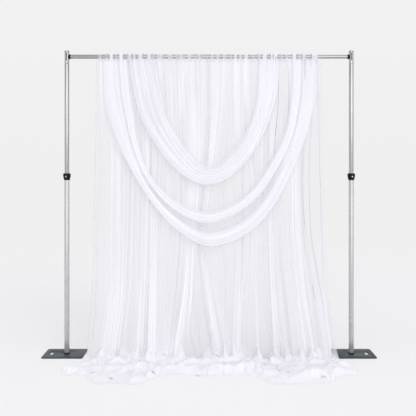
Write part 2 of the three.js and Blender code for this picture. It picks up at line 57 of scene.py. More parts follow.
class Value:
    """A socket that does sums."""

    def __init__(self, nodes, socket):
        self.nodes, self.socket = nodes, socket

    def sum(self, operation, other, swap=False):
        pair = (other, self) if swap else (self, other)
        return self.nodes.math(operation, *pair)

    def __add__(self, other):
        return self.sum("ADD", other)

    def __radd__(self, other):
        return self.sum("ADD", other, True)

    def __rsub__(self, other):
        return self.sum("SUBTRACT", other, True)

    def __mul__(self, other):
        return self.sum("MULTIPLY", other)

    def __rmul__(self, other):
        return self.sum("MULTIPLY", other, True)


class Nodes:
    """The node tree of one finish."""

    def __init__(self, tree):
        self.tree = tree

    def add(self, kind, settings=(), output=0, **sockets):
        node = self.tree.nodes.new(kind)
        for name, value in dict(settings).items():
            setattr(node, name, value)
        for name, value in sockets.items():
            self.feed(node.inputs[name.replace("_", " ")], value)
        return Value(self, node.outputs[output])

    def of_type(self, kind):
        return next(node for node in self.tree.nodes if node.type == kind)

    def principled(self, sockets):
        """The Principled shader, with these values or sockets fed in."""
        shader = self.of_type("BSDF_PRINCIPLED")
        for name, value in sockets.items():
            self.feed(shader.inputs[name], value)
        return Value(self, shader.outputs[0])

    def feed(self, socket, value):
        if isinstance(value, Value):
            self.tree.links.new(value.socket, socket)
        else:
            socket.default_value = value

    def math(self, operation, *values):
        node = self.tree.nodes.new("ShaderNodeMath")
        node.operation = operation
        for socket, value in zip(node.inputs, values):
            self.feed(socket, value)
        return Value(self, node.outputs[0])

    def clamp(self, value, low=0.0, high=1.0):
        return self.math("MINIMUM", self.math("MAXIMUM", value, low), high)

    def steps(self, value, low, high):
        """0 up to low, 1 from high on, and a smooth rise between."""
        return self.add("ShaderNodeMapRange", {"interpolation_type": "SMOOTHSTEP"}, Value=value,
                        From_Min=low, From_Max=high)

    def mix(self, share, a, b):
        node = self.tree.nodes.new("ShaderNodeMix")
        node.data_type = "RGBA"
        for index, value in ((0, share), (6, a), (7, b)):
            self.feed(node.inputs[index], value)
        return Value(self, node.outputs[2])

    def mix_shader(self, share, a, b):
        node = self.tree.nodes.new("ShaderNodeMixShader")
        for index, value in enumerate((share, a, b)):
            self.feed(node.inputs[index], value)
        return Value(self, node.outputs[0])

    def object_place(self):
        return self.add("ShaderNodeTexCoord", output=3)

    def cloth_place(self):
        return self.add("ShaderNodeUVMap", {"uv_map": "UVMap"})

    def scaled(self, place, x, y, z):
        """The place stretched along its axes, so that a noise there makes lines."""
        node = self.tree.nodes.new("ShaderNodeVectorMath")
        node.operation = "MULTIPLY"
        self.feed(node.inputs[0], place)
        node.inputs[1].default_value = (x, y, z)
        return Value(self, node.outputs[0])

    def noise(self, place, scale, detail):
        return self.add("ShaderNodeTexNoise", Vector=place, Scale=scale, Detail=detail)

    def bump(self, height, strength, distance):
        return self.add("ShaderNodeBump", Height=height, Strength=strength, Distance=distance)


def blank_material(name):
    material = bpy.data.materials.new(name)
    material.use_nodes = True
    return material, Nodes(material.node_tree)


def finish_named(name, surface):
    """A finish whose Principled sockets are what surface(nodes) returns."""
    material, nodes = blank_material(name)
    nodes.principled(surface(nodes))
    return material


# Finishes of the stand

DRAWN_UPRIGHT = (900, 900, 6)     # fine lines that run up the uprights
DRAWN_CROSSBAR = (6, 900, 900)    # and along the bar


def drawn_metal(nodes, lines, dark, light, metallic=1.0, roughening=0.10):
    """Drawn tube with fine lines along it and faint smudges."""
    place = nodes.object_place()
    drawn = nodes.noise(nodes.scaled(place, *lines), 1.0, 4.0)
    smudge = nodes.noise(place, 9.0, 3.0)
    return {
        "Base Color": nodes.mix(smudge, dark, light),
        "Metallic": metallic,
        "Roughness": 0.20 + roughening * drawn + 0.06 * smudge,
        "Normal": nodes.bump(drawn, 0.06, 0.0004),
    }


def polished_tube(nodes):
    return drawn_metal(nodes, DRAWN_UPRIGHT, (0.42, 0.43, 0.44, 1), (0.50, 0.51, 0.52, 1))


def lower_tube(nodes):
    return drawn_metal(nodes, DRAWN_UPRIGHT, (0.47, 0.48, 0.49, 1), (0.55, 0.56, 0.57, 1),
                       metallic=0.45)


def drawn_crossbar(nodes):
    return drawn_metal(nodes, DRAWN_CROSSBAR, (0.36, 0.37, 0.38, 1), (0.44, 0.45, 0.46, 1),
                       roughening=0.12)


def plate_paint(nodes):
    place = nodes.object_place()
    speckle = nodes.noise(place, 900.0, 2.0)
    patch = nodes.noise(place, 7.0, 4.0)
    return {
        "Base Color": nodes.mix(patch, (0.034, 0.043, 0.054, 1), (0.048, 0.059, 0.073, 1)),
        "Roughness": 0.36 + 0.14 * patch,
        "Specular IOR Level": 0.20,
        "Normal": nodes.bump(speckle, 0.25, 0.0003),
    }


def pin_paint(nodes):
    place = nodes.object_place()
    patch = nodes.noise(place, 60.0, 3.0)
    return {
        "Base Color": nodes.mix(patch, (0.012, 0.012, 0.013, 1), (0.03, 0.03, 0.032, 1)),
        "Roughness": 0.24 + 0.14 * patch,
    }


def moulded_black(nodes):
    place = nodes.object_place()
    grain = nodes.noise(place, 1400.0, 2.0)
    patch = nodes.noise(place, 40.0, 3.0)
    return {
        "Base Color": nodes.mix(patch, (0.003, 0.003, 0.004, 1), (0.007, 0.007, 0.008, 1)),
        "Roughness": 0.34 + 0.15 * patch,
        "Specular IOR Level": 0.16,
        "Normal": nodes.bump(grain, 0.15, 0.0002),
    }


def plated_steel(nodes):
    place = nodes.object_place()
    patch = nodes.noise(place, 120.0, 3.0)
    return {
        "Base Color": nodes.mix(patch, (0.36, 0.37, 0.38, 1), (0.46, 0.47, 0.48, 1)),
        "Metallic": 1.0,
        "Roughness": 0.30 + 0.16 * patch,
    }


def turned_brass(nodes):
    place = nodes.object_place()
    patch = nodes.noise(place, 150.0, 3.0)
    return {
        "Base Color": nodes.mix(patch, (0.66, 0.46, 0.18, 1), (0.78, 0.58, 0.27, 1)),
        "Metallic": 1.0,
        "Roughness": 0.25 + 0.15 * patch,
    }


def sheer_cloth(name):
    """Woven voile, which lets light through it and between its threads."""
    material, nodes = blank_material(name)
    cloth = nodes.cloth_place()
    cover = nodes.add("ShaderNodeAttribute", {"attribute_name": "cover"}, output=2)
    crease = nodes.noise(nodes.scaled(cloth, 9, 0.25, 1), 1.0, 1.0)
    thread = nodes.noise(nodes.scaled(cloth, 60, 1.2, 1), 1.0, 2.0)
    streak = 0.88 * crease + 0.12 * thread
    # painted light and shade: thin cloth is painted a darker, shaded lavender and dense cloth a
    # lighter, lit white, for one layer lets half of the light that it scatters through, and many
    # layers send it back
    shaded_thin = nodes.mix(streak, (0.735, 0.722, 0.785, 1), (0.785, 0.772, 0.83, 1))
    thick = nodes.mix(streak, (0.876, 0.869, 0.924, 1), (0.906, 0.899, 0.944, 1))
    lit_heaped = nodes.mix(streak, (0.894, 0.887, 0.938, 1), (0.924, 0.917, 0.958, 1))
    layered = nodes.mix(nodes.steps(cover, 0.35, 0.88), shaded_thin, thick)
    # painted light: the densest cloth, heaped on the floor and at the foot of the curtains, is
    # painted whiter still
    colour = nodes.mix(nodes.steps(cover, 0.90, 0.96), layered, lit_heaped)
    normal = nodes.bump(streak, 0.10, 0.003)
    scattered = nodes.principled({"Base Color": colour, "Roughness": 0.85,
                                  "Specular IOR Level": 0.15, "Normal": normal})
    through = nodes.add("ShaderNodeBsdfTranslucent", Color=colour, Normal=normal)
    gaps = nodes.add("ShaderNodeBsdfTransparent")
    lit = nodes.mix_shader(0.16, scattered, through)
    solid = nodes.clamp(cover * (0.91 + 0.18 * streak), 0.05, 0.985)
    nodes.feed(nodes.of_type("OUTPUT_MATERIAL").inputs["Surface"],
               nodes.mix_shader(solid, gaps, lit))
    return material


tube_finish = finish_named("polished_tube", polished_tube)
lower_finish = finish_named("polished_lower_tube", lower_tube)
bar_finish = finish_named("drawn_crossbar", drawn_crossbar)
plate_finish = finish_named("plate_paint", plate_paint)
pin_finish = finish_named("pin_paint", pin_paint)
black_finish = finish_named("moulded_black", moulded_black)
steel_finish = finish_named("plated_steel", plated_steel)
brass_finish = finish_named("turned_brass", turned_brass)
cloth_finish = sheer_cloth("sheer_cloth")

# the solids that no piece stands for
FINISH_OF = {
    "base_bolt": steel_finish, "upper_foot_plug": black_finish, "clamp_insert": brass_finish,
    "hook": steel_finish, "rivet": steel_finish, "inner_guide": black_finish,
}
for node_name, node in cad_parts.items():
    for ending, finish in FINISH_OF.items():
        if node_name.endswith(ending):
            node.data.materials.clear()
            node.data.materials.append(finish)


# Rigid pieces of the stand, each modelled about the axis of its upright or of the bar

MM = 0.001
UPRIGHT_X = 1.430
ON_AXIS = 0.00001                     # the radius that stands for 0, so that a ring can be scaled
PLATE = (406, 356, 8)                 # width, depth and thickness in mm
PLATE_MIDDLE = -20                    # mm to the side of the left upright
HANDLE_INSET = 72                     # mm from the plate's outer edge to the middle of its slot
HANDLE_REACH = 41                     # mm from there to the middle of each rounded end
HEAD_SLOT = (0.009, 2.952, 3.028)     # width, lower and upper end in metres
CLAMP_HEIGHT = 1.785                  # metres
KNOB_LOBES = 6
TUBE_WALL = 1.2                       # mm, of the uprights
BAR_WALL = 1.5                        # mm
BAR_END = 1391.2                      # mm from the middle to either end of the bar
BAR_RIVET = 1381.5                    # and to its rivets


def edit_mode(on):
    bpy.ops.object.mode_set(mode="EDIT" if on else "OBJECT")
    if on:
        bpy.ops.mesh.select_all(action="SELECT")


def settled(piece):
    """The piece as the one selected object, with its place and turn in its mesh."""
    bpy.ops.object.select_all(action="DESELECT")
    piece.select_set(True)
    bpy.context.view_layer.objects.active = piece
    bpy.ops.object.transform_apply(location=True, rotation=True, scale=True)
    return piece


def turned_piece(profile, steps=72, closed=True):
    """A piece turned about z from (radius, height) points in millimetres, ring by ring.
    A closed profile comes back to its first point, and an open one ends on the axis."""
    profile = [(max(radius * MM, ON_AXIS), height * MM) for radius, height in profile]
    radius, height = profile[0]
    bpy.ops.object.select_all(action="DESELECT")
    bpy.ops.mesh.primitive_circle_add(vertices=steps, radius=radius, location=(0, 0, height))
    piece = settled(bpy.context.object)
    edit_mode(True)
    for next_radius, next_height in profile[1:] + (profile[:1] if closed else []):
        bpy.ops.mesh.extrude_edges_move(
            TRANSFORM_OT_translate={"value": (0, 0, next_height - height)})
        bpy.ops.transform.resize(value=(next_radius / radius, next_radius / radius, 1),
                                 center_override=(0, 0, next_height))
        radius, height = next_radius, next_height
    edit_mode(True)
    bpy.ops.mesh.remove_doubles(threshold=0.00003)
    bpy.ops.mesh.normals_make_consistent(inside=False)
    edit_mode(False)
    return piece


def tube(radius, wall, low, high):
    """A plain tube with soft rims, in millimetres."""
    return soft_edges(turned_piece([(radius, low), (radius, high), (radius - wall, high),
                                    (radius - wall, low)]), 0.3)


def rod(radius, low, high, steps=32):
    return turned_piece([(0, low), (radius, low), (radius, high), (0, high)], steps, closed=False)


def block(size, centre):
    bpy.ops.object.select_all(action="DESELECT")
    bpy.ops.mesh.primitive_cube_add(size=1, location=[c * MM for c in centre],
                                    scale=[s * MM for s in size])
    return settled(bpy.context.object)


def lying(piece, axis):
    """The piece turned from z to lie along x, or towards the front."""
    piece.rotation_euler = (0, math.pi / 2, 0) if axis == "x" else (math.pi / 2, 0, 0)
    return settled(piece)


def moved(piece, x=0.0, y=0.0, z=0.0, turn=0.0):
    piece.location = (x * MM, y * MM, z * MM)
    piece.rotation_euler = (0, 0, turn)
    return settled(piece)


def apply_modifier(piece, kind, **settings):
    settled(piece)
    bpy.ops.object.modifier_add(type=kind)
    modifier = piece.modifiers[-1]
    for name, value in settings.items():
        setattr(modifier, name, value)
    bpy.ops.object.modifier_apply(modifier=modifier.name)


def combined(piece, operation, *tools):
    for tool in tools:
        apply_modifier(piece, "BOOLEAN", operation=operation, object=tool, solver="EXACT")
        bpy.data.objects.remove(tool)
    return piece


def soft_edges(piece, width, segments=2):
    apply_modifier(piece, "BEVEL", width=width * MM, segments=segments, limit_method="ANGLE",
                   angle_limit=math.radians(35))
    bpy.ops.object.shade_smooth_by_angle(angle=math.radians(32))
    return piece


def arc(centre_radius, centre_height, reach, start, end, steps=6):
    """(radius, height) points of a rounded edge, between two angles in degrees."""
    return [(centre_radius + reach * math.cos(math.radians(a)),
             centre_height + reach * math.sin(math.radians(a)))
            for a in np.linspace(start, end, steps)]


def installed(piece, node, body, finish):
    piece.name = piece.data.name = node + "_piece"
    piece.data.materials.clear()
    piece.data.materials.append(finish)
    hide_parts(node)
    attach(piece, body)


def on_both_uprights(piece, ending, body, finish, turn_right=0.0):
    """One piece for the left upright and a copy with its own mesh for the right one."""
    twin = piece.copy()
    twin.data = piece.data.copy()
    bpy.context.scene.collection.objects.link(twin)
    for side, made, x, turn in (("left", piece, -UPRIGHT_X, 0.0),
                                ("right", twin, UPRIGHT_X, turn_right)):
        moved(made, x / MM, STAND_DEPTH / MM, 0, turn)
        installed(made, f"{side}_{ending}", f"{side}_{body}", finish)


def base_plate():
    """The left plate, with its four upright edges rounded and a slot to carry it by."""
    width, _, thick = PLATE
    plate = block(PLATE, (PLATE_MIDDLE, 0, thick / 2))
    edit_mode(True)
    bpy.ops.mesh.select_mode(type="EDGE")
    bpy.ops.mesh.select_all(action="DESELECT")
    edit_mode(False)
    for edge in plate.data.edges:
        low, high = (plate.data.vertices[i].co for i in edge.vertices)
        edge.select = abs(low.z - high.z) > 0.001
    bpy.ops.object.mode_set(mode="EDIT")
    bpy.ops.mesh.bevel(offset=0.022, segments=10, affect="EDGES")
    bpy.ops.mesh.select_mode(type="VERT")
    edit_mode(False)
    slot_x = HANDLE_INSET - width / 2 + PLATE_MIDDLE
    ends = [moved(rod(15, -2, 10), slot_x, y) for y in (-HANDLE_REACH, HANDLE_REACH)]
    bolt_hole = turned_piece([(0, -2), (9.8, -2), (9.8, 5.9), (5.3, 5.9), (5.3, 10), (0, 10)], 32,
                             closed=False)
    combined(plate, "DIFFERENCE", block((30, 2 * HANDLE_REACH, 12), (slot_x, 0, thick / 2)), *ends,
             bolt_hole)
    return soft_edges(plate, 1.2)


def base_pin():
    pin = turned_piece([(0, 34.3), (5.3, 34.3), (5.3, 8.3), (29, 8.3), (29, 19.3), (23.8, 19.3),
                        (23.8, 152.3), (16.8, 159.3), (0, 159.3)], closed=False)
    return soft_edges(pin, 0.8)


def slotted_head():
    head = turned_piece([(20, 2882), (22, 2882), (22, 2916), (23.5, 2916), (23.5, 3042.7),
                         (22.3, 3042.7), (22.3, 2920), (20, 2920)])
    width, low, high = (value / MM for value in HEAD_SLOT)
    middle, tall = (low + high) / 2, high - low
    combined(head, "DIFFERENCE", block((60, width, tall), (0, 0, middle)),
             block((width, 60, tall), (0, 0, middle)))
    return soft_edges(head, 0.3)


def top_cap():
    cap = turned_piece([(0, 3043), (19, 3043), (19, 3032), (22, 3032), (22, 3043), (24.5, 3043)]
                       + arc(22.3, 3045.8, 2.2, 0, 90, 5) + [(0, 3048)], closed=False)
    return soft_edges(cap, 0.4)


def clamp_collar():
    collar = turned_piece(
        [(25.7, 1750), (28.2, 1750), (29, 1751), (31, 1759), (34.6, 1775), (37.3, 1786),
         (38, 1790.5), (38, 1804)] + arc(32.6, 1811.6, 5.4, 0, 90)
        + [(30, 1817), (23.8, 1817), (23.8, 1774.3), (25.7, 1774.3)])
    boss = lying(turned_piece([(0, 30), (13, 30), (13, 39.5), (11.5, 41), (0, 41)], 40,
                              closed=False), "front")
    combined(collar, "UNION", moved(boss, z=CLAMP_HEIGHT / MM))
    bore = lying(turned_piece([(0, 15), (4.3, 15), (4.3, 28.7), (8.3, 28.7), (8.3, 46), (0, 46)],
                              40, closed=False), "front")
    combined(collar, "DIFFERENCE", moved(bore, z=CLAMP_HEIGHT / MM))
    return soft_edges(collar, 0.5)


def clamp_knob():
    knob = turned_piece([(4.3, 41.3), (17, 41.3), (17, 59.3), (4.3, 59.3)], 72)
    for lobe in range(KNOB_LOBES):
        angle = math.pi * (2 * lobe + 1) / KNOB_LOBES
        combined(knob, "DIFFERENCE",
                 moved(rod(7, 30, 70), 21.5 * math.cos(angle), 21.5 * math.sin(angle)))
    soft_edges(knob, 1.3, 3)
    return moved(lying(knob, "front"), z=CLAMP_HEIGHT / MM)


def clamp_screw():
    screw = turned_piece([(0, 23.8), (3.2, 23.8), (4, 24.8), (4, 59.6), (8, 59.6)]
                         + arc(5, 59.6, 3, 10, 90) + [(0, 62.6)], 40, closed=False)
    return moved(lying(soft_edges(screw, 0.3), "front"), z=CLAMP_HEIGHT / MM)


def rivet_hole(x):
    return moved(lying(rod(3.3, -40, 40, 24), "front"), x)


def bar_tube(radius, start, end, rivet_x):
    inside = radius - BAR_WALL
    length = lying(turned_piece([(radius, start), (radius, end), (inside, end),
                                 (inside, start)]), "x")
    combined(length, "DIFFERENCE", rivet_hole(rivet_x))
    return moved(soft_edges(length, 0.3), 0, STAND_DEPTH / MM, BAR_HEIGHT / MM)


def end_plug(spigot, inward):
    """A plug whose disc faces its upright; inward is 1 on the left end and -1 on the right."""
    plug = turned_piece(
        [(0, 24.5)] + arc(21, 27.5, 3, -90, 0) + arc(21, 35.5, 3, 0, 90)
        + [(spigot, 38.5), (spigot, 84.5), (0, 84.5)], closed=False)
    plug = lying(plug, "x")
    hook_slot = block((60.3, 6.6, 20.6), (30.15, 0, 0))
    combined(plug, "DIFFERENCE", hook_slot, rivet_hole(UPRIGHT_X / MM - BAR_RIVET))
    soft_edges(plug, 0.5)
    return moved(plug, -inward * UPRIGHT_X / MM, STAND_DEPTH / MM, BAR_HEIGHT / MM,
                 0.0 if inward > 0 else math.pi)


on_both_uprights(base_plate(), "base_plate", "base", plate_finish, math.pi)
on_both_uprights(base_pin(), "base_pin", "base", pin_finish)
on_both_uprights(tube(25.4, TUBE_WALL, 19.6, 1774), "lower_tube", "lower",
                 lower_finish)
on_both_uprights(tube(23.5, TUBE_WALL, 1614, 2915.7), "upper_tube", "upper",
                 tube_finish)
on_both_uprights(slotted_head(), "slotted_head", "upper", tube_finish)
on_both_uprights(top_cap(), "top_cap", "upper", black_finish)
on_both_uprights(clamp_collar(), "clamp_collar", "lower", black_finish)
on_both_uprights(clamp_knob(), "clamp_knob", "clamp", black_finish)
on_both_uprights(clamp_screw(), "clamp_screw", "clamp", steel_finish)
installed(bar_tube(21, -BAR_END, 238.8, -BAR_RIVET), "crossbar_outer_tube", "bar_outer",
          bar_finish)
installed(bar_tube(19.05, -28.8, BAR_END, BAR_RIVET), "crossbar_inner_tube", "bar_inner",
          bar_finish)
installed(end_plug(19.2, 1), "crossbar_outer_end_plug", "bar_outer",
          black_finish)
installed(end_plug(17.25, -1), "crossbar_inner_end_plug", "bar_inner",
          black_finish)


# Curves and noise for the cloth

SOFTENED_ACROSS = 250     # how often the normals are evened out across the folds
SOFTENED_DOWN = 14        # and along them


def smooth_line(places, values, at):
    """A smooth line through values at places, read at each of at."""
    places, values = np.asarray(places, float), np.asarray(values, float)
    slopes = np.gradient(values, places)
    at = np.clip(at, places[0], places[-1])
    i = np.clip(np.searchsorted(places, at, side="right") - 1, 0, len(places) - 2)
    span = places[i + 1] - places[i]
    t = (at - places[i]) / span
    return ((1 + 2 * t) * (1 - t) ** 2 * values[i] + t * (1 - t) ** 2 * span * slopes[i]
            + t * t * (3 - 2 * t) * values[i + 1] + t * t * (t - 1) * span * slopes[i + 1])


def ripple(seed, across, down=0.0):
    """Smooth noise of about -1 to 1, about one wave to the unit."""
    random = np.random.RandomState(seed)
    total = 0.0
    for _ in range(6):
        lean = random.uniform(0, 2 * math.pi)
        pull = (math.cos(lean), math.sin(lean)) if np.ndim(down) else (1.0, 0.0)
        pace = random.uniform(0.55, 1.6)
        phase = random.uniform(0, 2 * math.pi)
        total = total + np.sin(2 * math.pi * pace * (pull[0] * across + pull[1] * down) + phase)
    return total / 2.6


def blend_up(value, low, high):
    """0 up to low, 1 from high on, and a smooth rise between."""
    t = np.clip((np.asarray(value, float) - low) / (high - low), 0, 1)
    return t * t * (3 - 2 * t)


def fold_depth(pitch, gathered, most):
    """Half the depth of the folds that take up gathered times the width they hang over."""
    return np.clip(0.225 * np.sqrt(np.maximum(gathered ** 2 - 1, 0.02)), 0.06, most) * pitch


def gathered_shares(density):
    """Where each place along an edge falls on the flat cloth, as shares of its width."""
    share = np.cumsum(density)
    return (share - share[0]) / (share[-1] - share[0])


def even_out(values, axis):
    """Each value inside the ends evened out with its two neighbours along the axis."""
    line = np.moveaxis(values, axis, 0)
    line[1:-1] = 0.25 * line[:-2] + 0.5 * line[1:-1] + 0.25 * line[2:]


def cover_of(points, width, thread, loosest, most, blur):
    """How much of the light each spot of a sheer sheet stops, seen square to the drape.
    thread is what one flat layer stops, and most what any number of layers does."""
    across = np.gradient(points, axis=1)
    normal = np.cross(across, np.gradient(points, axis=0))
    facing = np.abs(normal[..., 1]) / np.maximum(np.linalg.norm(normal, axis=2), 1e-9)
    made = np.linalg.norm(across, axis=2) * (points.shape[1] - 1)
    slack = np.clip(width / np.maximum(made, 1e-4), loosest, 6)
    cover = 1 - (1 - thread) ** (slack / np.clip(facing, 0.55, 1))
    for _ in range(blur):
        even_out(cover, 1)
    # over the bar the cloth is drawn apart between its gathers, and the bar shows through
    off_bar = np.hypot(points[..., 1] - STAND_DEPTH, points[..., 2] - BAR_HEIGHT)
    apart = blend_up(ripple(61, points[..., 0] * 14), -0.35, 0.30)
    apart = apart * (1 - blend_up(off_bar, 0.035, 0.06))
    return np.minimum(cover, most) * (1 - 0.88 * apart)


def soft_normals(points):
    """Normals of the folds, softened as light that passes through thin cloth does."""
    normal = np.cross(np.gradient(points, axis=0), np.gradient(points, axis=1))
    normal /= np.maximum(np.linalg.norm(normal, axis=2, keepdims=True), 1e-12)
    soft = normal.copy()
    for times in range(SOFTENED_ACROSS):
        even_out(soft, 1)
        soft[:, 0], soft[:, -1] = soft[:, 1], soft[:, -2]
        if times < SOFTENED_DOWN:
            even_out(soft, 0)
    front = np.zeros(soft.shape)
    front[..., 1] = np.clip(4 * soft[..., 1], -1, 1) * (1 - soft[..., 2] ** 2)
    mixed = 0.2 * normal + 0.5 * soft + 0.3 * front
    return mixed / np.maximum(np.linalg.norm(mixed, axis=2, keepdims=True), 1e-12)


def cloth_object(name, points, flat, cover):
    """A sheet whose rows run down the cloth and columns across it."""
    rows, columns, _ = points.shape
    index = np.arange(rows * columns).reshape(rows, columns)
    quads = np.stack([index[:-1, :-1], index[1:, :-1], index[1:, 1:], index[:-1, 1:]], -1)
    mesh = bpy.data.meshes.new(name)
    mesh.from_pydata(points.reshape(-1, 3).tolist(), [], quads.reshape(-1, 4).tolist())
    mesh.polygons.foreach_set("use_smooth", [True] * len(mesh.polygons))
    across = np.linspace(0, flat[0], columns)
    down = np.linspace(0, flat[1], rows)
    corner = np.empty(len(mesh.loops), np.int32)
    mesh.loops.foreach_get("vertex_index", corner)
    uv = np.stack([across[corner % columns], down[corner // columns]], -1)
    mesh.uv_layers.new(name="UVMap").data.foreach_set("uv", uv.astype(np.float32).ravel())
    layer = mesh.attributes.new("cover", "FLOAT", "POINT")
    layer.data.foreach_set("value", cover.astype(np.float32).ravel())
    mesh.normals_split_custom_set_from_vertices(soft_normals(points).reshape(-1, 3).tolist())
    mesh.materials.append(cloth_finish)
    made = bpy.data.objects.new(name, mesh)
    bpy.context.scene.collection.objects.link(made)
    return made


def hang_on_bar(made, flat, held, *solids):
    """The sheet stands for its solids, which it hides, and rides the bar."""
    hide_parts(*solids)
    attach(made, "bar_outer")
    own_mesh(made)


# Curtains

CURTAIN_FLAT = (0.98, 4.05)
PLEATS = 9
BROAD_FOLDS = 5
ROUND_BAR = BAR_RADIUS + 0.0025       # how far from the bar's axis the cloth goes round it
LYING_LEVEL = 0.075                   # mean height at which the cloth starts to lie
ROWS_HANGING = 96
ROWS_LYING = 66
POOL_FRONT = -0.592                   # the cloth on the floor reaches no further forward
# where each bunch of folds runs, in photograph pixels at these heights
BUNCH_HEIGHTS = [0.05, 0.65, 1.15, 1.75, 2.35, 2.95]
# for each curtain: pixels from the floor up, half width in pixels, strength
BUNCHES = {
    "curtain_left_outer": [
        ((101, 97, 96, 98, 100, 100), 1.6, 0.8),
        ((110, 117, 117.5, 117.5, 117, 117), 5.2, 4.0),
        ((119, 128, 129.5, 130.5, 131, 130.5), 4.0, 3.0),
        ((143, 145, 145.5, 146, 146, 145), 4.4, 3.6),
    ],
    "curtain_left_inner": [
        ((151, 153.5, 154.0, 154, 155, 157), 4.8, 2.2),
        ((166, 169, 169, 169, 171, 172), 1.8, 1.0),
        ((168, 176, 179, 179, 180, 181), 2.4, 1.0),
        ((177.5, 188, 190.5, 193, 196, 197), 5.2, 3.6),
        ((199, 202, 203, 204, 205, 205), 1.2, 0.8),
    ],
    "curtain_right_inner": [
        ((224, 210, 203.5, 209, 214, 215), 5.2, 3.8),
        ((235, 237, 238.5, 239, 240, 240), 4.6, 3.2),
        ((257, 255.5, 254.5, 253, 251, 250), 3.6, 3.2),
        ((269, 267, 265, 262, 261, 260), 1.6, 1.0),
    ],
    "curtain_right_outer": [
        ((276, 273, 272.5, 272, 272, 272), 3.0, 2.8),
        ((287, 282.5, 280.5, 280, 281, 281), 2.4, 2.2),
        ((305, 298, 295.5, 295, 296, 296), 5.8, 4.0),
        ((317, 311, 309.5, 309, 309, 309), 1.6, 1.0),
        ((329, 325, 323, 321.5, 320, 319), 2.6, 2.0),
    ],
}
CURTAINS = list(BUNCHES)
# left and right edge of each curtain, in pixels at the same heights
CURTAIN_EDGES = [
    ((88, 91.5, 92.5, 93.5, 94.5, 95.0), (149, 149.5, 150, 151, 151.5, 151.6)),
    ((147, 147.5, 148, 149, 149.5, 149.6), (214, 209, 206.5, 209, 211.4, 211.6)),
    ((207, 203, 196, 202, 206.0, 206.8), (272, 270.5, 270, 269.5, 269, 269)),
    ((263, 262, 262, 262.5, 263, 263), (332, 328.5, 326, 324, 323, 322.0)),
]
# how the cloth lies on the floor: its side edges, and its front edge across the drape
POOL_EDGES = [(-1.345, -0.63), (-0.69, 0.03), (-0.05, 0.69), (0.64, 1.345)]
FRONT_X = [-1.345, -1.14, -1.03, -0.80, -0.58, -0.46, 0.0, 0.42, 0.52, 0.78, 1.02, 1.15, 1.345]
FRONT_Y = [-0.28, -0.34, -0.53, -0.57, -0.55, -0.37, -0.345, -0.37, -0.55, -0.585, -0.54, -0.40,
           -0.28]
# waves of that front edge: seed, reach, waves to the metre
FRONT_WAVES = [(31, 0.020, 3.4), (32, 0.024, 9), (34, 0.009, 24)]
# small spots where the cloth on the floor is thinned, so that the floor shadowed under it shows
# through, partly with the painted shade of thin cloth
THINNED_SPOTS = [(-0.868, -0.466), (-0.513, -0.311), (-0.266, -0.012), (-0.101, -0.342), (0.080, 0.111),
           (0.497, 0.20), (1.017, -0.45), (-1.05, -0.28), (0.30, -0.10), (0.72, -0.36)]


def to_metres(pixels):
    return (np.asarray(pixels, float) - CENTRE_PIXEL) * PIXEL


def crumples(x, y):
    """Height of the folds that the cloth on the floor makes, from many crossing ridges."""
    random = np.random.RandomState(41)
    total = np.zeros(x.shape)
    for _ in range(170):
        centre_x, centre_y = random.uniform(-1.4, 1.4), random.uniform(-0.6, 0.2)
        turn = random.normal(0.0, 0.8)
        length, side = random.uniform(0.10, 0.32), random.choice([-1, 1])
        steep, gentle = random.uniform(0.012, 0.024), random.uniform(0.030, 0.065)
        height = random.uniform(0.012, 0.052)
        along = (x - centre_x) * math.cos(turn) + (y - centre_y) * math.sin(turn)
        off = (y - centre_y) * math.cos(turn) - (x - centre_x) * math.sin(turn)
        off = side * (off + 0.25 * along ** 2 / length)
        ridge = np.exp(-(off / np.where(off > 0, steep, gentle)) ** 2)
        total += (height * ridge * np.exp(-(along / length) ** 4)) ** 2
    return np.sqrt(total)


